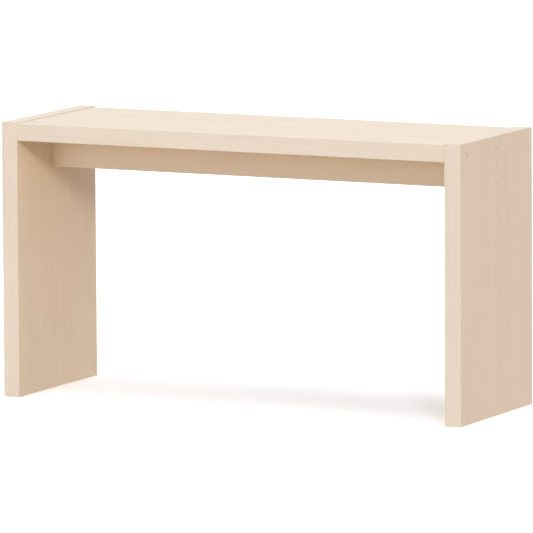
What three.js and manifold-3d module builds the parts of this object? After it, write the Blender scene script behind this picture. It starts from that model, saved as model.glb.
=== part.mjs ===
// A slab-ended communion table: two thick end boards, a thick top set between them a little below
// their upper edges and a little inside their front and back edges, and a deep rail under the
// middle of the top. The boards are edge-banded, located by wooden dowels and drawn together by
// bolts that run into barrel nuts. A cap covers each bolt head, and the ends stand on glides.
//
// Units are millimetres. +X runs along the table to the right, +Y to the back and +Z up. The
// origin is on the floor under the middle of the table.
import * as THREE from "three";
import { mergeVertices } from "three/addons/utils/BufferGeometryUtils.js";
import Module from "manifold-3d";

// Driving dimensions
const LENGTH = 1350; // overall, along X
const DEPTH = 450; // overall, along Y
const END_HEIGHT = 740; // of an end board with its bands
const BOARD = 46; // thickness of every board
const BAND = 1; // thickness of the edge bands
const LEDGE = 3; // how far the ends stand proud of the top's surface, front and back
const RAIL_HEIGHT = 90; // with its band
const GLIDE_HEIGHT = 1.5; // of a glide's disc, under the end

// Where the fittings are
const TOP_BOLT_RISE = 17; // bolt line above the underside of the top
const TOP_BOLT_SPACING = 185; // from the middle bolt to the front and back ones
const RAIL_BOLT_RISES = { lower: 15, upper: 61 }; // above the underside of the rail
const RAIL_TOP_DOWEL_SPACING = 400; // along the rail
const GLIDE_SPACING = 190; // from the middle of an end to a glide
const NUT_INSET = 34; // from the end of the top or rail to a barrel nut's middle

// Fittings
const BOLT = { radius: 3, length: 80, headRadius: 5, headHeight: 6, bevel: 0.5 };
const SOCKET = { acrossFlats: 5, depth: 3 };
const COUNTERBORE = { radius: 6.25, depth: 9 };
const NUT = { radius: 5, length: 15, bore: 3.2, slotWidth: 1.25, slotDepth: 1.5 };
const CAP = { radius: 6, thickness: 2, bevel: 0.5, sunk: 0.25, stemRadius: 2, stemLength: 2.25 };
const DOWEL = { radius: 4, length: 40, bevel: 1 };
const GLIDE = { radius: 11, bevel: 0.5, stemRadius: 3, stemLength: 14, taper: 1.5 };

// Drilled holes, each a little wider and deeper than what goes in it
const BOLT_HOLE = 3.5;
const DOWEL_HOLE = 4.25;
const NUT_HOLE = 5.3;
const GLIDE_HOLE = 3.25;
const HOLE_SLACK = 1; // extra depth at the end of a blind hole
const OVERRUN = 4; // how far a drill starts outside the board

// Places worked out from the dimensions above
const END_X = LENGTH / 2; // outer face of an end
const INNER_X = END_X - BOARD; // inner face of an end, where the top and the rail stop
const END_TOP = GLIDE_HEIGHT + END_HEIGHT;
const TOP_SURFACE = END_TOP - LEDGE;
const TOP_UNDERSIDE = TOP_SURFACE - BOARD;
const TOP_DEPTH = DEPTH - 2 * LEDGE;
const RAIL_UNDERSIDE = TOP_UNDERSIDE - RAIL_HEIGHT;
const NUT_X = INNER_X - NUT_INSET;
const BOLT_SEAT = END_X - COUNTERBORE.depth; // where a bolt head bears on the end
const BOLT_TIP = BOLT_SEAT - BOLT.length;
const TOP_BOLT_Z = TOP_UNDERSIDE + TOP_BOLT_RISE;
const RAIL_DOWEL_Z = RAIL_UNDERSIDE + (RAIL_BOLT_RISES.lower + RAIL_BOLT_RISES.upper) / 2;
const RAIL_TOP_DOWEL_SUNK = 25; // how much of an upright dowel is in the rail

const SIDES = { left: -1, right: 1 };
const HIDDEN_SIDES = 12; // facets of the round pieces and holes inside the boards
const SHOWN_SIDES = 24; // facets of the caps, their holes and the glides
const AXIS_TURNS = { x: [0, 0, -Math.PI / 2], y: [0, 0, 0], z: [Math.PI / 2, 0, 0] };

// Every bolt with its cap and barrel nut: where it lies on an end, and which way its nut lies
const bolts = {
  top_front: { y: -TOP_BOLT_SPACING, z: TOP_BOLT_Z, nutAxis: "z" },
  top_middle: { y: 0, z: TOP_BOLT_Z, nutAxis: "z" },
  top_back: { y: TOP_BOLT_SPACING, z: TOP_BOLT_Z, nutAxis: "z" },
  rail_upper: { y: 0, z: RAIL_UNDERSIDE + RAIL_BOLT_RISES.upper, nutAxis: "y" },
  rail_lower: { y: 0, z: RAIL_UNDERSIDE + RAIL_BOLT_RISES.lower, nutAxis: "y" },
};

// Every dowel that runs from an end into the top or the rail
const endDowels = {
  top_front: { y: -TOP_BOLT_SPACING / 2, z: TOP_BOLT_Z },
  top_back: { y: TOP_BOLT_SPACING / 2, z: TOP_BOLT_Z },
  rail: { y: 0, z: RAIL_DOWEL_Z },
};

// Every dowel that stands up from the rail into the top
const railTopDowels = { left: -RAIL_TOP_DOWEL_SPACING, centre: 0, right: RAIL_TOP_DOWEL_SPACING };

const materials = {
  board: new THREE.MeshStandardMaterial({ color: 0xe6d5be, roughness: 0.45, metalness: 0 }),
  band: new THREE.MeshStandardMaterial({ color: 0xe7d8c3, roughness: 0.45, metalness: 0 }),
  steel: new THREE.MeshStandardMaterial({ color: 0xb9bbbd, roughness: 0.35, metalness: 1 }),
  cap: new THREE.MeshStandardMaterial({ color: 0xd8c4a6, roughness: 0.55, metalness: 0 }),
  dowel: new THREE.MeshStandardMaterial({ color: 0xc9a77c, roughness: 0.7, metalness: 0 }),
  glide: new THREE.MeshStandardMaterial({ color: 0xe9e6df, roughness: 0.5, metalness: 0 }),
};

const wasm = await Module();
wasm.setup();

// A closed three.js geometry as a solid that can be cut and joined.
function toSolid(geometry) {
  const bare = geometry.index ? geometry.toNonIndexed() : geometry.clone();
  bare.deleteAttribute("normal");
  bare.deleteAttribute("uv");
  const merged = mergeVertices(bare, 1e-4);
  return new wasm.Manifold(
    new wasm.Mesh({
      numProp: 3,
      vertProperties: merged.attributes.position.array,
      triVerts: new Uint32Array(merged.index.array),
    }),
  );
}

function toGeometry(solid) {
  const mesh = solid.getMesh();
  const geometry = new THREE.BufferGeometry();
  geometry.setAttribute("position", new THREE.BufferAttribute(mesh.vertProperties, mesh.numProp));
  geometry.setIndex(new THREE.BufferAttribute(mesh.triVerts, 1));
  return geometry;
}

function cut(geometry, tools) {
  const solid = tools.reduce((left, tool) => left.subtract(toSolid(tool)), toSolid(geometry));
  return toGeometry(solid);
}

// A box between two corners.
function block(low, high) {
  const size = low.map((value, i) => high[i] - value);
  const middle = low.map((value, i) => (high[i] + value) / 2);
  return new THREE.BoxGeometry(...size).translate(...middle);
}

// A drill along one axis, from one value on that axis to another. `at` is any point on its line.
function drill(radius, axis, from, to, at, sides = HIDDEN_SIDES) {
  const centre = { ...at, [axis]: (from + to) / 2 };
  return new THREE.CylinderGeometry(radius, radius, Math.abs(to - from), sides)
    .applyMatrix4(new THREE.Matrix4().makeRotationFromEuler(new THREE.Euler(...AXIS_TURNS[axis])))
    .translate(centre.x, centre.y, centre.z);
}

// A turned piece about +Y from a profile of [radius, height] points that starts and ends on the axis.
function turned(profile, sides) {
  return new THREE.LatheGeometry(profile.map(([r, h]) => new THREE.Vector2(r, h)), sides);
}

// An edge band: as wide as the board and BAND thick, with its two outer corners rounded. Its length
// runs along +Z from 0, its width along X about 0, and its outer face towards +Y.
function bandGeometry(length) {
  const half = BOARD / 2;
  const outline = new THREE.Shape();
  outline.moveTo(-half, 0);
  outline.lineTo(half, 0);
  outline.absarc(half - BAND, 0, BAND, 0, Math.PI / 2);
  outline.lineTo(BAND - half, BAND);
  outline.absarc(BAND - half, 0, BAND, Math.PI / 2, Math.PI);
  return new THREE.ExtrudeGeometry(outline, { depth: length, bevelEnabled: false, curveSegments: 3 });
}

function boltGeometry() {
  const { radius, length, headRadius, headHeight, bevel } = BOLT;
  const blank = turned(
    [
      [0, -length],
      [radius - bevel, -length],
      [radius, bevel - length],
      [radius, 0],
      [headRadius, 0],
      [headRadius, headHeight - bevel],
      [headRadius - bevel, headHeight],
      [0, headHeight],
    ],
    HIDDEN_SIDES,
  );
  const socket = new THREE.CylinderGeometry(
    SOCKET.acrossFlats / Math.sqrt(3),
    SOCKET.acrossFlats / Math.sqrt(3),
    2 * SOCKET.depth,
    6,
  ).translate(0, headHeight, 0);
  return cut(blank, [socket]);
}

// A barrel nut lying along Y, with its threaded bore along X and a driver slot in its +Y end.
function nutGeometry() {
  const half = NUT.length / 2;
  const bore = drill(NUT.bore, "x", -2 * NUT.radius, 2 * NUT.radius, { x: 0, y: 0, z: 0 });
  const slot = block(
    [-2 * NUT.radius, half - NUT.slotDepth, -NUT.slotWidth / 2],
    [2 * NUT.radius, half + OVERRUN, NUT.slotWidth / 2],
  );
  return cut(new THREE.CylinderGeometry(NUT.radius, NUT.radius, NUT.length, HIDDEN_SIDES), [bore, slot]);
}

// A cap with its face towards +Y: a bevelled disc on a stem that plugs the bolt's socket.
function capGeometry() {
  const { radius, thickness, bevel, stemRadius, stemLength } = CAP;
  return turned(
    [
      [0, -stemLength],
      [stemRadius, -stemLength],
      [stemRadius, 0],
      [radius, 0],
      [radius, thickness - bevel],
      [radius - bevel, thickness],
      [0, thickness],
    ],
    SHOWN_SIDES,
  );
}

function dowelGeometry() {
  const { radius, length, bevel } = DOWEL;
  const half = length / 2;
  return turned(
    [
      [0, -half],
      [radius - bevel, -half],
      [radius, bevel - half],
      [radius, half - bevel],
      [radius - bevel, half],
      [0, half],
    ],
    HIDDEN_SIDES,
  );
}

// A push-in glide: a thin disc with a bevelled sole, and its tapered stem pointing +Y.
function glideGeometry() {
  const { radius, bevel, stemRadius, stemLength, taper } = GLIDE;
  return turned(
    [
      [0, 0],
      [radius - bevel, 0],
      [radius, bevel],
      [radius, GLIDE_HEIGHT],
      [stemRadius, GLIDE_HEIGHT],
      [stemRadius, GLIDE_HEIGHT + stemLength - taper],
      [stemRadius - taper, GLIDE_HEIGHT + stemLength],
      [0, GLIDE_HEIGHT + stemLength],
    ],
    SHOWN_SIDES,
  );
}

const table = new THREE.Group();

function place(name, geometry, material, position = [0, 0, 0], rotation = [0, 0, 0]) {
  const mesh = new THREE.Mesh(geometry, material);
  mesh.name = name;
  mesh.position.set(...position);
  mesh.rotation.set(...rotation);
  table.add(mesh);
}

// One end: its board, drilled for bolts, dowels and glides, and its four bands.
function addEnd(side, sign) {
  const [low, high] = [INNER_X, END_X].map((x) => sign * x).sort((a, b) => a - b);
  const bottom = GLIDE_HEIGHT + BAND;
  const holes = [];
  for (const at of Object.values(bolts)) {
    holes.push(drill(BOLT_HOLE, "x", sign * (INNER_X - OVERRUN), sign * (END_X + OVERRUN), at));
    holes.push(
      drill(COUNTERBORE.radius, "x", sign * BOLT_SEAT, sign * (END_X + OVERRUN), at, SHOWN_SIDES),
    );
  }
  const dowelDepth = DOWEL.length / 2 + HOLE_SLACK;
  for (const at of Object.values(endDowels)) {
    holes.push(drill(DOWEL_HOLE, "x", sign * (INNER_X - OVERRUN), sign * (INNER_X + dowelDepth), at));
  }
  const middleX = (low + high) / 2;
  const stemTop = GLIDE_HEIGHT + GLIDE.stemLength + HOLE_SLACK;
  const glideHoles = [-GLIDE_SPACING, GLIDE_SPACING].map((y) =>
    drill(GLIDE_HOLE, "z", GLIDE_HEIGHT - OVERRUN, stemTop, { x: middleX, y }),
  );
  const board = block([low, BAND - DEPTH / 2, bottom], [high, DEPTH / 2 - BAND, END_TOP - BAND]);
  place(`side_${side}_board`, cut(board, [...holes, ...glideHoles]), materials.board);

  const upright = bandGeometry(END_HEIGHT);
  const level = bandGeometry(DEPTH - 2 * BAND);
  const levelStart = DEPTH / 2 - BAND;
  place(`side_${side}_edge_front`, upright, materials.band,
    [middleX, BAND - DEPTH / 2, END_TOP], [Math.PI, 0, 0]);
  place(`side_${side}_edge_back`, upright, materials.band,
    [middleX, DEPTH / 2 - BAND, GLIDE_HEIGHT]);
  place(`side_${side}_edge_top`, level, materials.band,
    [middleX, levelStart, END_TOP - BAND], [Math.PI / 2, 0, 0]);
  const bottomBand = level
    .clone()
    .applyMatrix4(new THREE.Matrix4().makeRotationX(-Math.PI / 2))
    .translate(middleX, -levelStart, bottom);
  place(`side_${side}_edge_bottom`, cut(bottomBand, glideHoles), materials.band);
}

// The top: its board, drilled in its ends for bolts and dowels and from below for the barrel nuts
// and the rail's dowels, and its front and back bands.
function addTop() {
  const holes = [];
  for (const sign of Object.values(SIDES)) {
    for (const at of Object.values(bolts).filter(({ nutAxis }) => nutAxis === "z")) {
      const boltEnd = BOLT_TIP - 2 * HOLE_SLACK;
      const nutTop = at.z + NUT.length / 2 + HOLE_SLACK;
      holes.push(drill(BOLT_HOLE, "x", sign * (INNER_X + OVERRUN), sign * boltEnd, at));
      holes.push(drill(NUT_HOLE, "z", TOP_UNDERSIDE - OVERRUN, nutTop, { x: sign * NUT_X, y: at.y }));
    }
    const dowelEnd = INNER_X - DOWEL.length / 2 - HOLE_SLACK;
    for (const at of [endDowels.top_front, endDowels.top_back]) {
      holes.push(drill(DOWEL_HOLE, "x", sign * (INNER_X + OVERRUN), sign * dowelEnd, at));
    }
  }
  const dowelTop = TOP_UNDERSIDE + DOWEL.length - RAIL_TOP_DOWEL_SUNK + HOLE_SLACK;
  for (const x of Object.values(railTopDowels)) {
    holes.push(drill(DOWEL_HOLE, "z", TOP_UNDERSIDE - OVERRUN, dowelTop, { x, y: 0 }));
  }
  const halfDepth = TOP_DEPTH / 2;
  const board = block(
    [-INNER_X, BAND - halfDepth, TOP_UNDERSIDE],
    [INNER_X, halfDepth - BAND, TOP_SURFACE],
  );
  place("top_board", cut(board, holes), materials.board);

  const band = bandGeometry(2 * INNER_X);
  const middleZ = (TOP_UNDERSIDE + TOP_SURFACE) / 2;
  const alongX = new THREE.Matrix4().makeBasis(
    new THREE.Vector3(0, 0, -1),
    new THREE.Vector3(0, 1, 0),
    new THREE.Vector3(1, 0, 0),
  );
  const back = band.clone().applyMatrix4(alongX);
  place("top_edge_back", back, materials.band, [-INNER_X, halfDepth - BAND, middleZ]);
  place("top_edge_front", back, materials.band, [INNER_X, BAND - halfDepth, middleZ], [0, 0, Math.PI]);
}

// The rail: its board, drilled in its ends, from behind for the barrel nuts and from above for the
// dowels into the top, and the band along its underside.
function addRail() {
  const half = BOARD / 2;
  const holes = [];
  for (const sign of Object.values(SIDES)) {
    for (const at of Object.values(bolts).filter(({ nutAxis }) => nutAxis === "y")) {
      const boltEnd = BOLT_TIP - 2 * HOLE_SLACK;
      const nutEnd = -NUT.length / 2 - HOLE_SLACK;
      holes.push(drill(BOLT_HOLE, "x", sign * (INNER_X + OVERRUN), sign * boltEnd, at));
      holes.push(drill(NUT_HOLE, "y", half + OVERRUN, nutEnd, { x: sign * NUT_X, z: at.z }));
    }
    const dowelEnd = INNER_X - DOWEL.length / 2 - HOLE_SLACK;
    holes.push(drill(DOWEL_HOLE, "x", sign * (INNER_X + OVERRUN), sign * dowelEnd, endDowels.rail));
  }
  const dowelBottom = TOP_UNDERSIDE - RAIL_TOP_DOWEL_SUNK - HOLE_SLACK;
  for (const x of Object.values(railTopDowels)) {
    holes.push(drill(DOWEL_HOLE, "z", TOP_UNDERSIDE + OVERRUN, dowelBottom, { x, y: 0 }));
  }
  const board = block([-INNER_X, -half, RAIL_UNDERSIDE + BAND], [INNER_X, half, TOP_UNDERSIDE]);
  place("rail_board", cut(board, holes), materials.board);

  const underside = new THREE.Matrix4().makeBasis(
    new THREE.Vector3(0, -1, 0),
    new THREE.Vector3(0, 0, -1),
    new THREE.Vector3(1, 0, 0),
  );
  const band = bandGeometry(2 * INNER_X).applyMatrix4(underside);
  place("rail_edge_bottom", band, materials.band, [-INNER_X, 0, RAIL_UNDERSIDE + BAND]);
}

// Bolts, caps, barrel nuts and dowels at each end.
function addFittings(side, sign) {
  const outwards = [0, 0, (-sign * Math.PI) / 2];
  for (const [where, at] of Object.entries(bolts)) {
    const capBase = END_X - CAP.sunk - CAP.thickness;
    const nutTurn = at.nutAxis === "z" ? [-Math.PI / 2, 0, 0] : [0, 0, 0];
    place(`${where}_bolt_${side}`, boltGeometry(), materials.steel, [sign * BOLT_SEAT, at.y, at.z], outwards);
    place(`${where}_cap_${side}`, capGeometry(), materials.cap, [sign * capBase, at.y, at.z], outwards);
    place(`${where}_nut_${side}`, nutGeometry(), materials.steel, [sign * NUT_X, at.y, at.z], nutTurn);
  }
  for (const [where, at] of Object.entries(endDowels)) {
    place(`${where}_dowel_${side}`, dowelGeometry(), materials.dowel, [sign * INNER_X, at.y, at.z], outwards);
  }
  for (const [where, y] of Object.entries({ front: -GLIDE_SPACING, back: GLIDE_SPACING })) {
    place(`glide_${side}_${where}`, glideGeometry(), materials.glide,
      [sign * (END_X - BOARD / 2), y, 0], [Math.PI / 2, 0, 0]);
  }
}

function addRailTopDowels() {
  const z = TOP_UNDERSIDE - RAIL_TOP_DOWEL_SUNK + DOWEL.length / 2;
  for (const [where, x] of Object.entries(railTopDowels)) {
    place(`rail_top_dowel_${where}`, dowelGeometry(), materials.dowel, [x, 0, z], [Math.PI / 2, 0, 0]);
  }
}

addTop();
addRail();
addRailTopDowels();
for (const [side, sign] of Object.entries(SIDES)) {
  addEnd(side, sign);
  addFittings(side, sign);
}

export default table;
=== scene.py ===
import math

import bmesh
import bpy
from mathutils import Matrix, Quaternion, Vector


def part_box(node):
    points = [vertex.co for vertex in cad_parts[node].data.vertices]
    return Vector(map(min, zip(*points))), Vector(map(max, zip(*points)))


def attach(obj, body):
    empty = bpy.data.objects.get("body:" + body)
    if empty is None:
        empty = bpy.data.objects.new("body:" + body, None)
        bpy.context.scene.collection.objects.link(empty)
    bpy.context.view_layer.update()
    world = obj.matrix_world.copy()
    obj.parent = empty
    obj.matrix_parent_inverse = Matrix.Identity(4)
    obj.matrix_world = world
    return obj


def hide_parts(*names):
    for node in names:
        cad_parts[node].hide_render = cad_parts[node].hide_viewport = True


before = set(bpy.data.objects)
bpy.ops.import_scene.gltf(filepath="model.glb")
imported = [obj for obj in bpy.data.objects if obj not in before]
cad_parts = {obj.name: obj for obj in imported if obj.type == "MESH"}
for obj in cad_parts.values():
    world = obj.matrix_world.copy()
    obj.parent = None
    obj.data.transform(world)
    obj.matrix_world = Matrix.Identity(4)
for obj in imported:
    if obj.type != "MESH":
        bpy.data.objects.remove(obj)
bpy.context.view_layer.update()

# A slab-ended communion table in pale maple: two thick ends, a thick top set just inside them and a
# deep rail under its middle. Every board has a particle core, maple faces and maple edge bands, and
# is held by capped bolts, barrel nuts and dowels. All sizes are in metres, in the frame's own axes:
# +X along the table, +Y to the back, +Z up.

X, Y, Z = range(3)  # where each axis stands in a vector
X_AXIS = Vector((1, 0, 0))
Y_AXIS = Vector((0, 1, 0))
Z_AXIS = Vector((0, 0, 1))

# How finely the boards are worked
BOARD_ARRIS = 0.00012  # broken edge where a face meets its band
BOARD_ARRIS_STEPS = 2
BAND_ROUND = 0.0009  # outer corners of an edge band
BAND_ROUND_STEPS = 5
BAND_LONG_EDGE = 0.1  # an edge longer than this runs the length of its band
VENEER = 0.0006  # thickness of the maple on a board's faces
HOLE_RIM = 0.0003  # eased rim of a drilled hole that shows
RIM_STEPS = 3  # across an eased rim
ROUND_STEPS = 48  # sides of a round piece or hole, but for the dowels
SMOOTH_ANGLE = math.radians(40)  # a sharper edge than this stays crisp
FACING = 0.999  # cosine within which a face points along an axis
CLOSE = 1e-5  # two places nearer than this are the same

# Drilling, as in the CAD
CAP_HOLE_RADIUS = 0.00625
CAP_HOLE_DEPTH = 0.009
BOLT_HOLE_RADIUS = 0.0035
NUT_HOLE_RADIUS = 0.0053
DOWEL_HOLE_RADIUS = 0.00425
GLIDE_HOLE_RADIUS = 0.00325
HOLE_SLACK = 0.001  # how far a hole runs past what goes in it
OPEN_END = 0.05  # how far a drill reaches out of the board

# Cover caps
CAP_RADIUS = 0.006
CAP_THICKNESS = 0.002
CAP_BEVEL = 0.0005
CAP_RISE = 0.00016  # of the slightly crowned face
CAP_CROWN_STEPS = 5
CAP_STEM_RADIUS = 0.002

# Bolts
BOLT_RADIUS = 0.003
BOLT_HEAD_RADIUS = 0.005
BOLT_HEAD_HEIGHT = 0.006
BOLT_EDGE = 0.0004
BOLT_SEAT_RING = 0.0012  # of the head's underside, outside the shank's root
KNURL = 0.965  # how far the grooves of the knurled head go in, of its radius
SOCKET_RADIUS = 0.005 / math.sqrt(3)  # of the hexagon's corners
SOCKET_DEPTH = 0.003
THREAD_PITCH = 0.001
THREAD_TURNS = 44
THREAD_ROOT = 0.82  # of the bolt's radius

# Barrel nuts
NUT_RADIUS = 0.005
NUT_EDGE = 0.0004
NUT_BORE_RADIUS = 0.0032
NUT_SLOT_WIDTH = 0.00125
NUT_SLOT_DEPTH = 0.0015

# Dowels
DOWEL_RADIUS = 0.004
DOWEL_END = 0.001
DOWEL_SIDES = 60
DOWEL_FLUTE = 0.93  # how far the flutes go in, of the radius
DOWEL_FLUTE_STEP = 3  # sides from one flute to the next

# Glides
GLIDE_RADIUS = 0.011
GLIDE_HEIGHT = 0.0015
GLIDE_EDGE = 0.0005
GLIDE_RING = 0.0035  # from the rim to the groove in the sole
GLIDE_GROOVE = 0.0003
GLIDE_STEM_RADIUS = 0.003
GLIDE_BARBS = 5
GLIDE_BARB_ROOT = 0.78  # of the stem's radius
GLIDE_BARB_STEP = 0.15  # of a barb's length, at each of its ends
GLIDE_TIP = 0.5  # of the stem's radius

# Wood
HEART_REACH = 0.17  # across the grain, half way from one heart of the figure to the next
HEART_DEPTH = 0.024  # below the face
HEART_SLANT = 0.02  # how fast the heart falls away along the grain
RING_SPACING = 0.0085
RING_TELLS = -0.22  # how much the rings darken the wood
RING_DARK = -0.2  # a ring's wave is darkest up to here
RING_PALE = 1.0  # and palest here
DRIFT_REACH = 0.12  # how far the trunk wanders
UNEVEN_REACH = 2.4  # how far a ring strays, in ring spacings

# The wood's pattern is made of noises, each so fine along the grain and across it, and so rough.
# Where it tints the wood, `tells` is by how much.
DRIFT = {"along": 1.3, "across": 1.0, "detail": 2}
UNEVEN = {"along": 3, "across": 9, "detail": 3}
BANDS = {"along": 0.9, "across": 24, "detail": 3, "roughness": 0.55, "tells": 0.9}
LINES = {"along": 2.6, "across": 210, "detail": 3, "roughness": 0.6, "tells": 0.75}
FIBRES = {"along": 14, "across": 1300, "detail": 2, "roughness": 0.6, "tells": 0.5}
RIPPLE = {"along": 34, "across": 7, "detail": 2, "roughness": 0.55, "distortion": 0.6, "tells": 0.35}
CLOUDS = {"along": 2.2, "across": 5.5, "detail": 2, "tells": 0.6}
FLECKS = {"along": 90, "across": 900, "detail": 1.5}
FLECK_START = 0.66  # a fleck begins where its noise passes this
FLECK_FULL = 0.78  # and is at its darkest from here
FLECK_TELLS = 0.35
FLECK_DEPTH = 0.8  # in the relief
RIPPLE_SHEEN = 0.12
FIBRE_SHEEN = 0.10

GRAIN_RELIEF = 0.00012
GRAIN_RELIEF_STRENGTH = 0.12
WOOD_ROUGHNESS = 0.38
LACQUER_WEIGHT = 0.2
LACQUER_ROUGHNESS = 0.28
BARE = 0.0  # the lacquer on unfinished wood

# Steel, plastic and particle core
SPECKLE_SCALE = 900.0
SPECKLE_LOW = 0.3  # most of the noise lies between here
SPECKLE_HIGH = 0.7  # and here
SPECKLE_SHEEN = 0.06  # how far the roughness strays either way

# Colours
LIGHT_MAPLE = (0.775, 0.697, 0.603, 1)
DARK_MAPLE = (0.715, 0.628, 0.527, 1)
LIGHT_BEECH = (0.62, 0.42, 0.25, 1)
DARK_BEECH = (0.50, 0.32, 0.18, 1)
CORE = (0.55, 0.40, 0.24, 1)
CAP_PLASTIC = (0.715, 0.635, 0.535, 1)
BOLT_STEEL = (0.62, 0.62, 0.62, 1)
NUT_STEEL = (0.60, 0.59, 0.56, 1)
GLIDE_PLASTIC = (0.75, 0.73, 0.68, 1)
BLACK = (0, 0, 0, 1)

# Studio floor
FLOOR_SIZE = 120
FLOOR_SEEN = (0.97, 0.97, 0.97, 1)
FLOOR_GLOW = (0.3, 0.3, 0.3, 1)  # keeps all but the closest shadows off the floor
FLOOR_BOUNCE = (0.69, 0.50, 0.33, 1)  # what the floor throws back up at the table
BACKDROP_STRENGTH = 0.08

# Camera, on a long lens
VIEW_AZIMUTH = math.radians(26.40)
VIEW_ELEVATION = math.radians(7.46)
VIEW_ROLL = math.radians(0.34)
VIEW_DISTANCE = 20.05
VIEW_TARGET = Vector((-0.0203, 0.0425, 0.3545))
LENS = 507.2  # in millimetres, as the sensor
SENSOR = 36.0
CLIP_END = 400.0

# What the table is made up of, by its nodes' names
SIDES = {"left": -1, "right": 1}
TOP_BOLTS = ("top_front", "top_middle", "top_back")
RAIL_BOLTS = ("rail_upper", "rail_lower")
TOP_DOWELS = ("top_front", "top_back")
RAIL_TOP_DOWELS = ("left", "centre", "right")


# ---------------------------------------------------------------- modelling helpers


def pick(piece):
    """Selects one piece and nothing else."""
    bpy.ops.object.select_all(action="DESELECT")
    piece.select_set(True)
    bpy.context.view_layer.objects.active = piece


def add_block(name, low, high):
    """A box primitive between two corners."""
    bpy.ops.object.select_all(action="DESELECT")
    bpy.ops.mesh.primitive_cube_add(size=1, location=(low + high) / 2, scale=high - low)
    block = bpy.context.active_object
    block.name = name
    block.data.name = name
    bpy.ops.object.transform_apply(location=True, rotation=True, scale=True)
    return block


def add_rod(name, radius, start, end, sides=ROUND_STEPS):
    """A cylinder primitive from one point to another."""
    along = end - start
    bpy.ops.object.select_all(action="DESELECT")
    bpy.ops.mesh.primitive_cylinder_add(
        vertices=sides,
        radius=radius,
        depth=along.length,
        location=(start + end) / 2,
        rotation=along.to_track_quat("Z", "Y").to_euler(),
    )
    rod = bpy.context.active_object
    rod.name = name
    rod.data.name = name
    bpy.ops.object.transform_apply(location=True, rotation=True, scale=True)
    return rod


def open_up(piece, mode):
    """Opens a piece in edit mode with nothing selected, and gives its mesh."""
    pick(piece)
    bpy.ops.object.mode_set(mode="EDIT")
    bpy.ops.mesh.select_mode(type=mode)
    bpy.ops.mesh.select_all(action="DESELECT")
    return bmesh.from_edit_mesh(piece.data)


def close_up():
    """Leaves edit mode."""
    bpy.ops.object.mode_set(mode="OBJECT")


def select_edges(piece, wanted):
    mesh = open_up(piece, "EDGE")
    for edge in mesh.edges:
        if wanted(*(v.co for v in edge.verts)):
            edge.select_set(True)
    bmesh.update_edit_mesh(piece.data)


def select_faces(piece, wanted):
    mesh = open_up(piece, "FACE")
    for face in mesh.faces:
        if wanted(face.calc_center_median(), face.normal):
            face.select_set(True)
    bmesh.update_edit_mesh(piece.data)


def select_points(piece, wanted):
    mesh = open_up(piece, "VERT")
    for point in mesh.verts:
        if wanted(point.co):
            point.select_set(True)
    bmesh.update_edit_mesh(piece.data)


def select_end(piece, outwards):
    """Selects the one flat end of a round piece that faces a given way."""
    select_faces(piece, lambda at, normal: normal.dot(outwards) > FACING)


def bevel_edges(piece, wanted, width, segments=RIM_STEPS):
    select_edges(piece, wanted)
    bpy.ops.mesh.bevel(offset=width, segments=segments, profile=0.5, affect="EDGES", clamp_overlap=True)
    close_up()


def from_line(point, at, along):
    """How far a point is from the line through `at`."""
    return (point - at).cross(along).length


def ease_rim(piece, at, along, radius, width):
    """Eases the round edges of one radius about a line, through `at`, at one place along it."""

    def on_rim(point):
        level = abs((point - at).dot(along)) < CLOSE
        return level and abs(from_line(point, at, along) - radius) < CLOSE

    bevel_edges(piece, lambda a, b: on_rim(a) and on_rim(b), width)


def squeeze(factor, at, along):
    """Scales what is selected towards a line along one axis, leaving lengths along it alone."""
    sizes = [1 if round(abs(part)) else factor for part in along]
    bpy.ops.transform.resize(value=sizes, center_override=at)


def push_out(distance, along):
    """Extrudes what is selected along one axis."""
    bpy.ops.mesh.extrude_region_move(TRANSFORM_OT_translate={"value": along * distance})


def cut_away(piece, cutter):
    """Cuts one solid out of another with an applied Boolean modifier, and removes the cutter."""
    cut = piece.modifiers.new("cut", "BOOLEAN")
    cut.operation = "DIFFERENCE"
    cut.solver = "EXACT"
    cut.object = cutter
    apply_modifier(piece, cut)
    bpy.data.objects.remove(cutter)


def apply_modifier(piece, modifier):
    pick(piece)
    bpy.ops.object.modifier_apply(modifier=modifier.name)


def shade(piece):
    """Smooth on the rounded edges and flat on the flats."""
    pick(piece)
    bpy.ops.object.shade_smooth_by_angle(angle=SMOOTH_ANGLE)
    level = piece.modifiers.new("level", "WEIGHTED_NORMAL")
    level.keep_sharp = True
    apply_modifier(piece, level)


def middle(node):
    low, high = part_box(node)
    return (low + high) / 2


def copy_to(piece, name, start, end, turned=False):
    """A copy with its own mesh, moved from one place to another, and turned end for end if asked."""
    pick(piece)
    bpy.ops.object.duplicate()
    twin = bpy.context.active_object
    twin.name = name
    twin.data.name = name
    if turned:
        bpy.ops.transform.rotate(value=math.pi, orient_axis="Z", center_override=start)
    bpy.ops.transform.translate(value=end - start)
    return twin


# ---------------------------------------------------------------- shader helpers


def node_group(name, inputs, outputs):
    """A shader node group with named sockets. Gives the group with its input and output nodes."""
    group = bpy.data.node_groups.new(name, "ShaderNodeTree")
    for socket, kind, default in inputs:
        made = group.interface.new_socket(name=socket, in_out="INPUT", socket_type=kind)
        if default is not None:
            made.default_value = default
    for socket, kind in outputs:
        group.interface.new_socket(name=socket, in_out="OUTPUT", socket_type=kind)
    return group, group.nodes.new("NodeGroupInput"), group.nodes.new("NodeGroupOutput")


def join(tree, source, target):
    tree.links.new(source, target)


def math_node(tree, operation, first, second=None, clamp=False):
    node = tree.nodes.new("ShaderNodeMath")
    node.operation = operation
    node.use_clamp = clamp
    for socket, value in zip(node.inputs, (first, second)):
        if value is None:
            continue
        if isinstance(value, bpy.types.NodeSocket):
            join(tree, value, socket)
        else:
            socket.default_value = value
    return node.outputs["Value"]


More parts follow.
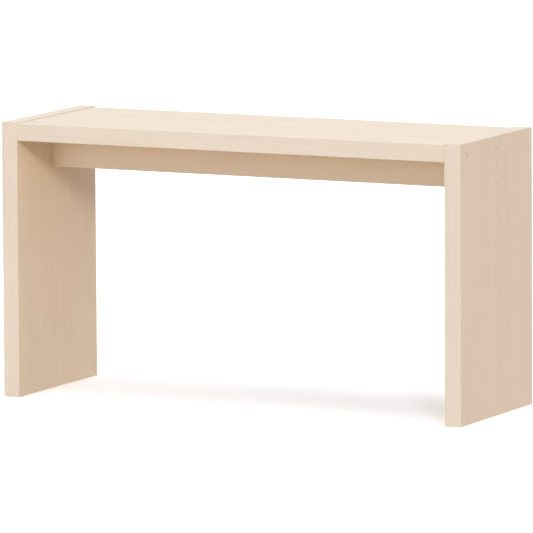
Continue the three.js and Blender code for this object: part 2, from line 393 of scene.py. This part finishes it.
def stretched(tree, vector, scale):
    """The pattern's coordinates, stretched by a scale on each axis."""
    node = tree.nodes.new("ShaderNodeMapping")
    join(tree, vector, node.inputs["Vector"])
    node.inputs["Scale"].default_value = scale
    return node.outputs["Vector"]


def noise(tree, vector, scale=1.0, detail=2.0, roughness=0.5, distortion=0.0):
    node = tree.nodes.new("ShaderNodeTexNoise")
    join(tree, vector, node.inputs["Vector"])
    node.inputs["Scale"].default_value = scale
    node.inputs["Detail"].default_value = detail
    node.inputs["Roughness"].default_value = roughness
    node.inputs["Distortion"].default_value = distortion
    return node.outputs["Fac"]


def spread(tree, value, low, high, to_low=0.0, to_high=1.0):
    """Remaps a value from one range to another, held within the second."""
    node = tree.nodes.new("ShaderNodeMapRange")
    node.clamp = True
    join(tree, value, node.inputs["Value"])
    node.inputs["From Min"].default_value = low
    node.inputs["From Max"].default_value = high
    node.inputs["To Min"].default_value = to_low
    node.inputs["To Max"].default_value = to_high
    return node.outputs["Result"]


def blend_colours(tree, factor, first, second):
    """Mixes two colours. A Mix node's sockets for them are its sixth and seventh, counted from zero."""
    node = tree.nodes.new("ShaderNodeMix")
    node.data_type = "RGBA"
    for socket, value in ((node.inputs[0], factor), (node.inputs[6], first), (node.inputs[7], second)):
        if isinstance(value, bpy.types.NodeSocket):
            join(tree, value, socket)
        else:
            socket.default_value = value
    return node.outputs[2]


# ---------------------------------------------------------------- shared effects


def centred(tree, value, amount):
    """A value about one half, made to swing about zero instead."""
    return math_node(tree, "MULTIPLY", math_node(tree, "SUBTRACT", value, 0.5), amount)


def layer(tree, vector, kind):
    """One of the noises in the wood, stretched along the grain."""
    spot = stretched(tree, vector, (kind["along"], kind["across"], kind["across"]))
    roughness = kind.get("roughness", 0.5)
    return noise(tree, spot, 1.0, kind["detail"], roughness, kind.get("distortion", 0.0))


def wander(tree, vector):
    """The trunk wanders a little, so the whole figure is pushed sideways by a slow drift."""
    drift = centred(tree, layer(tree, vector, DRIFT), DRIFT_REACH)
    push = tree.nodes.new("ShaderNodeCombineXYZ")
    join(tree, drift, push.inputs["Y"])
    join(tree, drift, push.inputs["Z"])
    pushed = tree.nodes.new("ShaderNodeVectorMath")
    pushed.operation = "ADD"
    join(tree, vector, pushed.inputs[0])
    join(tree, push.outputs["Vector"], pushed.inputs[1])
    return pushed.outputs["Vector"]


def growth_rings(tree, vector, warped):
    """Rings about a heart that lies below the face and slants away from it."""
    place = tree.nodes.new("ShaderNodeSeparateXYZ")
    join(tree, warped, place.inputs["Vector"])
    across = math_node(tree, "PINGPONG", place.outputs["Y"], HEART_REACH)
    slant = math_node(tree, "MULTIPLY", place.outputs["X"], HEART_SLANT)
    depth = math_node(tree, "ADD", math_node(tree, "ADD", slant, place.outputs["Z"]), HEART_DEPTH)
    across_squared = math_node(tree, "MULTIPLY", across, across)
    depth_squared = math_node(tree, "MULTIPLY", depth, depth)
    radius = math_node(tree, "SQRT", math_node(tree, "ADD", across_squared, depth_squared))
    uneven = centred(tree, layer(tree, vector, UNEVEN), RING_SPACING * UNEVEN_REACH)
    turns = math_node(tree, "MULTIPLY", math_node(tree, "ADD", radius, uneven), math.tau / RING_SPACING)
    return spread(tree, math_node(tree, "SINE", turns), RING_DARK, RING_PALE)


def make_wood_grain():
    """Sliced wood: X of the vector runs along the grain, Y across it and Z through the wood."""
    group, given, out = node_group(
        "wood_grain",
        [
            ("Vector", "NodeSocketVector", None),
            ("Light wood", "NodeSocketColor", LIGHT_MAPLE),
            ("Dark wood", "NodeSocketColor", DARK_MAPLE),
            ("Figure", "NodeSocketFloat", 1.0),
        ],
        [("Color", "NodeSocketColor"), ("Height", "NodeSocketFloat"), ("Roughness", "NodeSocketFloat")],
    )
    vector = given.outputs["Vector"]
    warped = wander(group, vector)
    fibres = layer(group, vector, FIBRES)
    ripple = layer(group, vector, RIPPLE)
    tints = (
        (layer(group, warped, BANDS), BANDS),
        (layer(group, warped, LINES), LINES),
        (fibres, FIBRES),
        (ripple, RIPPLE),
        (layer(group, vector, CLOUDS), CLOUDS),
    )
    tone = centred(group, growth_rings(group, vector, warped), RING_TELLS)
    for value, kind in tints:
        tone = math_node(group, "ADD", tone, centred(group, value, kind["tells"]))
    tone = math_node(group, "MULTIPLY", tone, given.outputs["Figure"])
    tone = math_node(group, "ADD", tone, 0.5, clamp=True)
    wood_colour = blend_colours(group, tone, given.outputs["Dark wood"], given.outputs["Light wood"])
    fleck = spread(group, layer(group, vector, FLECKS), FLECK_START, FLECK_FULL, 0.0, FLECK_TELLS)
    flecked = blend_colours(group, fleck, wood_colour, given.outputs["Dark wood"])
    join(group, flecked, out.inputs["Color"])

    pits = math_node(group, "MULTIPLY", fleck, FLECK_DEPTH)
    grooves = math_node(group, "SUBTRACT", centred(group, fibres, 1.0), pits)
    join(group, math_node(group, "ADD", grooves, 0.5), out.inputs["Height"])
    sheen = math_node(
        group, "ADD", centred(group, ripple, RIPPLE_SHEEN), centred(group, fibres, FIBRE_SHEEN)
    )
    join(group, math_node(group, "ADD", sheen, WOOD_ROUGHNESS), out.inputs["Roughness"])
    return group


GRAIN_TURNS = {
    # Which way the frame's axes are read, so that the pattern's X runs along the grain
    "x": (0.0, 0.0, 0.0),
    "y": (0.0, 0.0, -math.pi / 2),
    "z": (0.0, math.pi / 2, 0.0),
}


def wood(name, grain_axis, offset, light, dark, figure, lacquer):
    """Sliced wood with its grain along one of the frame's axes, lacquered or bare."""
    material = bpy.data.materials.new(name)
    material.use_nodes = True
    tree = material.node_tree
    shader = tree.nodes["Principled BSDF"]
    place = tree.nodes.new("ShaderNodeTexCoord")
    turn = tree.nodes.new("ShaderNodeMapping")
    turn.inputs["Rotation"].default_value = GRAIN_TURNS[grain_axis]
    turn.inputs["Location"].default_value = offset
    join(tree, place.outputs["Object"], turn.inputs["Vector"])
    grain = tree.nodes.new("ShaderNodeGroup")
    grain.node_tree = WOOD_GRAIN
    join(tree, turn.outputs["Vector"], grain.inputs["Vector"])
    grain.inputs["Light wood"].default_value = light
    grain.inputs["Dark wood"].default_value = dark
    grain.inputs["Figure"].default_value = figure
    join(tree, grain.outputs["Color"], shader.inputs["Base Color"])
    join(tree, grain.outputs["Roughness"], shader.inputs["Roughness"])
    relief = tree.nodes.new("ShaderNodeBump")
    relief.inputs["Strength"].default_value = GRAIN_RELIEF_STRENGTH
    relief.inputs["Distance"].default_value = GRAIN_RELIEF
    join(tree, grain.outputs["Height"], relief.inputs["Height"])
    join(tree, relief.outputs["Normal"], shader.inputs["Normal"])
    shader.inputs["Coat Weight"].default_value = lacquer
    shader.inputs["Coat Roughness"].default_value = LACQUER_ROUGHNESS
    return material


def maple(name, grain_axis, offset, figure):
    """Lacquered maple veneer."""
    return wood(name, grain_axis, offset, LIGHT_MAPLE, DARK_MAPLE, figure, LACQUER_WEIGHT)


def beech(name, grain_axis):
    """The bare beech of the dowels."""
    return wood(name, grain_axis, (0, 0, 0), LIGHT_BEECH, DARK_BEECH, 1.0, BARE)


def speckled(name, colour, roughness, metallic=0.0, variation=0.06):
    """Steel, moulded plastic or particle core, with a fine uneven surface."""
    material = bpy.data.materials.new(name)
    material.use_nodes = True
    tree = material.node_tree
    shader = tree.nodes["Principled BSDF"]
    place = tree.nodes.new("ShaderNodeTexCoord")
    speckle = noise(tree, place.outputs["Object"], scale=SPECKLE_SCALE, detail=3)
    dark = tuple(c * (1 - 2 * variation) for c in colour[:3]) + (1,)
    light = tuple(min(1, c * (1 + 2 * variation)) for c in colour[:3]) + (1,)
    join(tree, blend_colours(tree, speckle, dark, light), shader.inputs["Base Color"])
    satin = roughness - SPECKLE_SHEEN
    dull = roughness + SPECKLE_SHEEN
    sheen = spread(tree, speckle, SPECKLE_LOW, SPECKLE_HIGH, satin, dull)
    join(tree, sheen, shader.inputs["Roughness"])
    shader.inputs["Metallic"].default_value = metallic
    return material


WOOD_GRAIN = make_wood_grain()

materials = {
    "end_left": maple("left_end_maple", "z", (0.31, 0.17, 0.05), 1.0),
    "end_right": maple("right_end_maple", "z", (1.73, 0.62, 0.41), 1.0),
    "top": maple("top_maple", "x", (0.57, 0.93, 0.22), 1.2),
    "rail": maple("rail_maple", "x", (2.11, 0.35, 0.73), 0.8),
    "band_x": maple("long_band_maple", "x", (3.1, 1.4, 0.9), 1.3),
    "band_y": maple("level_band_maple", "y", (0.4, 2.4, 1.9), 1.3),
    "band_z": maple("upright_band_maple", "z", (1.2, 0.4, 2.9), 1.3),
    "core": speckled("particle_core", CORE, 0.85, variation=0.2),
    "cap": speckled("cap_plastic", CAP_PLASTIC, 0.5, variation=0.03),
    "bolt": speckled("zinc_plated_steel", BOLT_STEEL, 0.32, metallic=1.0),
    "nut": speckled("nut_steel", NUT_STEEL, 0.4, metallic=1.0),
    "dowel_x": beech("level_dowel_beech", "x"),
    "dowel_z": beech("upright_dowel_beech", "z"),
    "glide": speckled("glide_plastic", GLIDE_PLASTIC, 0.45, variation=0.03),
}


# ---------------------------------------------------------------- boards


def dress(piece, *finishes):
    piece.data.materials.clear()
    for finish in finishes:
        piece.data.materials.append(finish)


def settle(piece, node):
    """Puts a finished piece's place into its mesh and hands it over in place of its CAD node."""
    shade(piece)
    bpy.ops.object.transform_apply(location=True, rotation=True, scale=True)
    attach(piece, "root")
    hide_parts(node)


def face_board(board, thickness, face_finish):
    """Maple on the two faces of a board, bare particle core on its cut edges and in its holes."""
    dress(board, face_finish, materials["core"])
    levels = [v.co[thickness] for v in board.data.vertices]
    for face in board.data.polygons:
        level = face.center[thickness]
        depth = min(level - min(levels), max(levels) - level)
        face.material_index = 0 if depth < VENEER else 1


def drill(node, axis, radius, before=HOLE_SLACK, after=HOLE_SLACK):
    """A drill's radius, start and end, along one axis through a fitting and past its two ends."""
    low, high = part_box(node)
    start = middle(node)
    end = middle(node)
    start[axis] = low[axis] - before
    end[axis] = high[axis] + after
    return radius, start, end


def clear_slivers(board):
    """Takes out the faces of no width that are left where two holes cross."""
    select_faces(board, lambda at, normal: True)
    bpy.ops.mesh.dissolve_degenerate(threshold=CLOSE)
    close_up()


def make_board(node, thickness, face_finish, holes, rims=()):
    """A faced board with broken arrises and its holes, in place of its CAD solid."""
    low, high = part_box(node)
    board = add_block(node.replace("_board", "_faced_board"), low, high)
    bevel_edges(board, lambda a, b: True, BOARD_ARRIS, BOARD_ARRIS_STEPS)
    for radius, start, end in holes:
        cut_away(board, add_rod("drill", radius, start, end))
    for at, along, radius in rims:
        ease_rim(board, at, along, radius, HOLE_RIM)
    clear_slivers(board)
    face_board(board, thickness, face_finish)
    settle(board, node)


def make_band(node, outwards, finish, holes=()):
    """An edge band with its outer corners rounded, in place of its CAD solid."""
    low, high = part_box(node)
    band = add_block(node.replace("_edge_", "_") + "_band", low, high)
    axis = max(range(3), key=lambda i: abs(outwards[i]))
    outer = high[axis] if outwards[axis] > 0 else low[axis]

    def outer_corner(a, b):
        level = abs(a[axis] - outer) < CLOSE and abs(b[axis] - outer) < CLOSE
        return level and (a - b).length > BAND_LONG_EDGE

    bevel_edges(band, outer_corner, BAND_ROUND, BAND_ROUND_STEPS)
    for radius, start, end in holes:
        cut_away(band, add_rod("drill", radius, start, end))
    dress(band, finish)
    settle(band, node)


def glide_holes(side):
    return [drill(f"glide_{side}_{where}", Z, GLIDE_HOLE_RADIUS) for where in ("front", "back")]


def make_end(side, sign):
    """An end board, drilled through for the bolts, and stopped for their caps, the dowels and glides."""
    low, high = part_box(f"side_{side}_board")
    face = high.x if sign > 0 else low.x
    holes = glide_holes(side)
    rims = []
    for place in TOP_BOLTS + RAIL_BOLTS:
        at = middle(f"{place}_cap_{side}")
        at.x = face
        seat = at - X_AXIS * sign * CAP_HOLE_DEPTH
        holes.append(drill(f"{place}_bolt_{side}", X, BOLT_HOLE_RADIUS))
        holes.append((CAP_HOLE_RADIUS, seat, at + X_AXIS * sign * OPEN_END))
        rims.append((at, X_AXIS, CAP_HOLE_RADIUS))
    for place in (*TOP_DOWELS, "rail"):
        holes.append(drill(f"{place}_dowel_{side}", X, DOWEL_HOLE_RADIUS))
    make_board(f"side_{side}_board", X, materials[f"end_{side}"], holes, rims)
    make_band(f"side_{side}_edge_front", -Y_AXIS, materials["band_z"])
    make_band(f"side_{side}_edge_back", Y_AXIS, materials["band_z"])
    make_band(f"side_{side}_edge_top", Z_AXIS, materials["band_y"])
    make_band(f"side_{side}_edge_bottom", -Z_AXIS, materials["band_y"], glide_holes(side))


def make_top():
    """The top, with its barrel nuts let in from below."""
    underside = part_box("top_board")[0].z
    holes = [drill(f"rail_top_dowel_{where}", Z, DOWEL_HOLE_RADIUS) for where in RAIL_TOP_DOWELS]
    rims = []
    for side in SIDES:
        for place in TOP_BOLTS:
            holes.append(drill(f"{place}_bolt_{side}", X, BOLT_HOLE_RADIUS))
            holes.append(drill(f"{place}_nut_{side}", Z, NUT_HOLE_RADIUS, before=OPEN_END))
            at = middle(f"{place}_nut_{side}")
            at.z = underside
            rims.append((at, Z_AXIS, NUT_HOLE_RADIUS))
        for place in TOP_DOWELS:
            holes.append(drill(f"{place}_dowel_{side}", X, DOWEL_HOLE_RADIUS))
    make_board("top_board", Z, materials["top"], holes, rims)
    make_band("top_edge_front", -Y_AXIS, materials["band_x"])
    make_band("top_edge_back", Y_AXIS, materials["band_x"])


def make_rail():
    """The rail, with its barrel nuts let in from behind."""
    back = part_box("rail_board")[1].y
    holes = [drill(f"rail_top_dowel_{where}", Z, DOWEL_HOLE_RADIUS) for where in RAIL_TOP_DOWELS]
    rims = []
    for side in SIDES:
        for place in RAIL_BOLTS:
            holes.append(drill(f"{place}_bolt_{side}", X, BOLT_HOLE_RADIUS))
            holes.append(drill(f"{place}_nut_{side}", Y, NUT_HOLE_RADIUS, after=OPEN_END))
            at = middle(f"{place}_nut_{side}")
            at.y = back
            rims.append((at, Y_AXIS, NUT_HOLE_RADIUS))
        holes.append(drill(f"rail_dowel_{side}", X, DOWEL_HOLE_RADIUS))
    make_board("rail_board", Y, materials["rail"], holes, rims)
    make_band("rail_edge_bottom", -Z_AXIS, materials["band_x"])


# ---------------------------------------------------------------- fittings


def at_bolts(kind, side):
    """The nodes of one kind of fitting at all of a side's bolts."""
    return [f"{place}_{kind}_{side}" for place in TOP_BOLTS + RAIL_BOLTS]


def spread_copies(piece, nodes, turned=()):
    """Copies the piece made in the first node's place to the others, and hands them all over."""
    start = middle(nodes[0])
    copies = [copy_to(piece, f"{node}_made", start, middle(node), node in turned) for node in nodes[1:]]
    for made, node in zip([piece, *copies], nodes):
        settle(made, node)


def make_caps():
    """Crowned plastic caps, each on a stem that plugs the bolt's socket."""
    left = at_bolts("cap", "left")
    nodes = at_bolts("cap", "right") + left
    low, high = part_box(nodes[0])
    centre = middle(nodes[0])
    face = Vector((high.x - CAP_RISE, centre.y, centre.z))
    back = Vector((high.x - CAP_THICKNESS, centre.y, centre.z))
    cap = add_rod(f"{nodes[0]}_made", CAP_RADIUS, back, face)
    ease_rim(cap, face, X_AXIS, CAP_RADIUS, CAP_BEVEL)
    crown = CAP_RADIUS - CAP_BEVEL

    def crown_height(step):
        return CAP_RISE * (1 - (1 - step / CAP_CROWN_STEPS) ** 2)

    select_end(cap, X_AXIS)
    for step in range(1, CAP_CROWN_STEPS):
        bpy.ops.mesh.inset(thickness=crown / CAP_CROWN_STEPS)
        bpy.ops.transform.translate(value=X_AXIS * (crown_height(step) - crown_height(step - 1)))
    close_up()
    select_end(cap, -X_AXIS)
    bpy.ops.mesh.inset(thickness=CAP_RADIUS - CAP_STEM_RADIUS)
    push_out(back.x - low.x, -X_AXIS)
    close_up()
    ease_rim(cap, Vector((low.x, centre.y, centre.z)), X_AXIS, CAP_STEM_RADIUS, CAP_BEVEL)
    dress(cap, materials["cap"])
    spread_copies(cap, nodes, turned=left)


def make_bolts():
    """Bolts with a knurled head, a hexagon socket and a threaded shank."""
    left = at_bolts("bolt", "left")
    nodes = at_bolts("bolt", "right") + left
    low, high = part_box(nodes[0])
    centre = middle(nodes[0])
    outer = Vector((high.x, centre.y, centre.z))
    seat = outer - X_AXIS * BOLT_HEAD_HEIGHT
    bolt = add_rod(f"{nodes[0]}_made", BOLT_HEAD_RADIUS, seat, outer)
    ease_rim(bolt, outer, X_AXIS, BOLT_HEAD_RADIUS, BOLT_EDGE)

    def in_groove(point):
        turn = math.atan2(point.z - centre.z, point.y - centre.y) / math.tau * ROUND_STEPS
        level = point.x < outer.x - BOLT_EDGE + CLOSE
        return level and round(turn) % 2 == 1

    select_points(bolt, in_groove)
    squeeze(KNURL, centre, X_AXIS)
    close_up()
    select_end(bolt, -X_AXIS)
    bpy.ops.mesh.inset(thickness=BOLT_SEAT_RING)
    squeeze(BOLT_RADIUS / (BOLT_HEAD_RADIUS - BOLT_SEAT_RING), centre, X_AXIS)
    plain = seat.x - low.x - THREAD_PITCH * THREAD_TURNS
    push_out(plain, -X_AXIS)
    for _ in range(THREAD_TURNS):
        push_out(THREAD_PITCH / 2, -X_AXIS)
        squeeze(THREAD_ROOT, centre, X_AXIS)
        push_out(THREAD_PITCH / 2, -X_AXIS)
        squeeze(1 / THREAD_ROOT, centre, X_AXIS)
    squeeze(THREAD_ROOT, centre, X_AXIS)
    close_up()
    socket = add_rod("socket", SOCKET_RADIUS, outer - X_AXIS * SOCKET_DEPTH, outer + X_AXIS, sides=6)
    cut_away(bolt, socket)
    dress(bolt, materials["bolt"])
    spread_copies(bolt, nodes, turned=left)


def make_nuts(places, along):
    """Barrel nuts lying along one axis, cross-bored for their bolts and slotted at the open end."""
    nodes = [f"{place}_nut_{side}" for side in SIDES for place in places]
    low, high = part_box(nodes[0])
    centre = middle(nodes[0])
    half = (high - low).dot(Vector([abs(c) for c in along])) / 2
    mouth = centre + along * half
    foot = centre - along * half
    nut = add_rod(f"{nodes[0]}_made", NUT_RADIUS, foot, mouth)
    ease_rim(nut, mouth, along, NUT_RADIUS, NUT_EDGE)
    ease_rim(nut, foot, along, NUT_RADIUS, NUT_EDGE)
    reach = X_AXIS * 2 * NUT_RADIUS
    cut_away(nut, add_rod("bore", NUT_BORE_RADIUS, centre - reach, centre + reach))
    corner = reach + along * NUT_SLOT_DEPTH + along.cross(X_AXIS) * NUT_SLOT_WIDTH / 2
    to_corner = Vector([abs(c) for c in corner])
    cut_away(nut, add_block("slot", mouth - to_corner, mouth + to_corner))
    dress(nut, materials["nut"])
    spread_copies(nut, nodes)


def make_dowels(nodes, along, finish):
    """Fluted dowels with eased ends."""
    low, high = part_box(nodes[0])
    centre = middle(nodes[0])
    half = (high - low).dot(along) / 2
    ends = (centre - along * half, centre + along * half)
    dowel = add_rod(f"{nodes[0]}_made", DOWEL_RADIUS, *ends, DOWEL_SIDES)
    for end in ends:
        ease_rim(dowel, end, along, DOWEL_RADIUS, DOWEL_END)
    first = along.cross(Y_AXIS)

    def in_flute(point):
        out = point - centre
        turn = math.atan2(out.dot(first), out.y) / math.tau * DOWEL_SIDES
        outermost = from_line(point, centre, along) > DOWEL_RADIUS - CLOSE
        return outermost and round(turn) % DOWEL_FLUTE_STEP == 1

    select_points(dowel, in_flute)
    squeeze(DOWEL_FLUTE, centre, along)
    close_up()
    dress(dowel, finish)
    spread_copies(dowel, nodes)


def make_glides():
    """Glides with a grooved sole and a barbed stem."""
    nodes = [f"glide_{side}_{where}" for side in SIDES for where in ("front", "back")]
    low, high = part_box(nodes[0])
    centre = middle(nodes[0])
    sole = Vector((centre.x, centre.y, low.z))
    shoulder = sole + Z_AXIS * GLIDE_HEIGHT
    glide = add_rod(f"{nodes[0]}_made", GLIDE_RADIUS, sole, shoulder)
    ease_rim(glide, sole, Z_AXIS, GLIDE_RADIUS, GLIDE_EDGE)
    select_end(glide, -Z_AXIS)
    bpy.ops.mesh.inset(thickness=GLIDE_RING)
    bpy.ops.mesh.inset(thickness=GLIDE_GROOVE)
    bpy.ops.transform.translate(value=Z_AXIS * GLIDE_GROOVE)
    bpy.ops.mesh.inset(thickness=GLIDE_GROOVE)
    bpy.ops.mesh.inset(thickness=GLIDE_GROOVE)
    bpy.ops.transform.translate(value=-Z_AXIS * GLIDE_GROOVE)
    close_up()
    select_end(glide, Z_AXIS)
    bpy.ops.mesh.inset(thickness=GLIDE_RADIUS - GLIDE_STEM_RADIUS)
    rise = (high.z - shoulder.z) / (GLIDE_BARBS + 1)
    for _ in range(GLIDE_BARBS):
        push_out(rise * GLIDE_BARB_STEP, Z_AXIS)
        squeeze(GLIDE_BARB_ROOT, centre, Z_AXIS)
        push_out(rise * (1 - 2 * GLIDE_BARB_STEP), Z_AXIS)
        push_out(rise * GLIDE_BARB_STEP, Z_AXIS)
        squeeze(1 / GLIDE_BARB_ROOT, centre, Z_AXIS)
    push_out(rise, Z_AXIS)
    squeeze(GLIDE_TIP, centre, Z_AXIS)
    close_up()
    dress(glide, materials["glide"])
    spread_copies(glide, nodes)


# ---------------------------------------------------------------- floor, light and camera


def backwards(azimuth, elevation):
    """From the table towards a place seen at this azimuth and elevation."""
    level = math.cos(elevation)
    return Vector((math.sin(azimuth) * level, -math.cos(azimuth) * level, math.sin(elevation)))


def add_floor():
    """A plain pale floor. It gives the table a warm, even light from below, and looks almost white."""
    bpy.ops.object.select_all(action="DESELECT")
    bpy.ops.mesh.primitive_plane_add(size=FLOOR_SIZE)
    floor = bpy.context.active_object
    floor.name = "studio_floor"
    material = bpy.data.materials.new("pale_floor")
    material.use_nodes = True
    tree = material.node_tree
    shader = tree.nodes["Principled BSDF"]
    shader.inputs["Roughness"].default_value = 1.0
    shader.inputs["Specular IOR Level"].default_value = 0.0
    shader.inputs["Emission Strength"].default_value = 1.0
    from_camera = tree.nodes.new("ShaderNodeLightPath").outputs["Is Camera Ray"]
    painted = blend_colours(tree, from_camera, BLACK, FLOOR_SEEN)
    glowing = blend_colours(tree, from_camera, FLOOR_BOUNCE, FLOOR_GLOW)
    join(tree, painted, shader.inputs["Base Color"])
    join(tree, glowing, shader.inputs["Emission Color"])
    dress(floor, material)


def add_soft_light(name, azimuth, elevation, spread_angle, strength):
    """A soft light from far off, with one strength for each of red, green and blue."""
    light = bpy.data.lights.new(name, "SUN")
    light.energy = max(strength)
    light.color = [part / max(strength) for part in strength]
    light.angle = math.radians(spread_angle)
    lamp = bpy.data.objects.new(name, light)
    lamp.rotation_mode = "QUATERNION"
    away = backwards(math.radians(azimuth), math.radians(elevation))
    lamp.rotation_quaternion = away.to_track_quat("Z", "Y")
    bpy.context.scene.collection.objects.link(lamp)


def add_lights():
    """Soft lamps all round. Their strengths and tints come from a least-squares fit, rounded off."""
    add_soft_light("overhead", 0, 85, 60, (2.21, 2.17, 2.12))
    add_soft_light("key", 35, 24, 10, (0.65, 0.78, 0.93))
    add_soft_light("warm_key", 64, 13, 6, (0.40, 0.28, 0.11))
    add_soft_light("soft_key", 60, 24, 16, (0.28, 0.24, 0.17))
    add_soft_light("high_front", 0, 32, 30, (0.0, 0.05, 0.20))
    add_soft_light("left_front", -15, 12, 30, (0.33, 0.47, 0.50))
    add_soft_light("low_front", 0, 2, 24, (0.90, 0.75, 0.67))
    add_soft_light("right_fill", 85, 25, 40, (0.41, 0.49, 0.59))
    add_soft_light("back_right", 110, 14, 20, (0.21, 0.23, 0.32))
    add_soft_light("low_back", 206, 14, 24, (0.16, 0.13, 0.10))
    add_soft_light("left_fill", -75, 30, 40, (0.5, 0.5, 0.5))


def add_world():
    world = bpy.data.worlds.new("white_studio")
    world.use_nodes = True
    backdrop = world.node_tree.nodes["Background"]
    backdrop.inputs["Color"].default_value = (1.0, 1.0, 1.0, 1)
    backdrop.inputs["Strength"].default_value = BACKDROP_STRENGTH
    bpy.context.scene.world = world


def add_camera():
    camera = bpy.data.cameras.new("camera")
    camera.lens = LENS
    camera.sensor_width = SENSOR
    camera.clip_end = CLIP_END
    viewer = bpy.data.objects.new("camera", camera)
    back = backwards(VIEW_AZIMUTH, VIEW_ELEVATION)
    viewer.location = VIEW_TARGET + back * VIEW_DISTANCE
    viewer.rotation_mode = "QUATERNION"
    viewer.rotation_quaternion = back.to_track_quat("Z", "Y") @ Quaternion(Z_AXIS, -VIEW_ROLL)
    bpy.context.scene.collection.objects.link(viewer)
    bpy.context.scene.camera = viewer


for side, sign in SIDES.items():
    make_end(side, sign)
make_top()
make_rail()
make_caps()
make_bolts()
make_nuts(TOP_BOLTS, -Z_AXIS)
make_nuts(RAIL_BOLTS, Y_AXIS)
level_dowels = [f"{place}_dowel_{side}" for side in SIDES for place in (*TOP_DOWELS, "rail")]
upright_dowels = [f"rail_top_dowel_{where}" for where in RAIL_TOP_DOWELS]
make_dowels(level_dowels, X_AXIS, materials["dowel_x"])
make_dowels(upright_dowels, Z_AXIS, materials["dowel_z"])
make_glides()
add_floor()
add_world()
add_lights()
add_camera()
bpy.context.scene.view_settings.view_transform = "Standard"
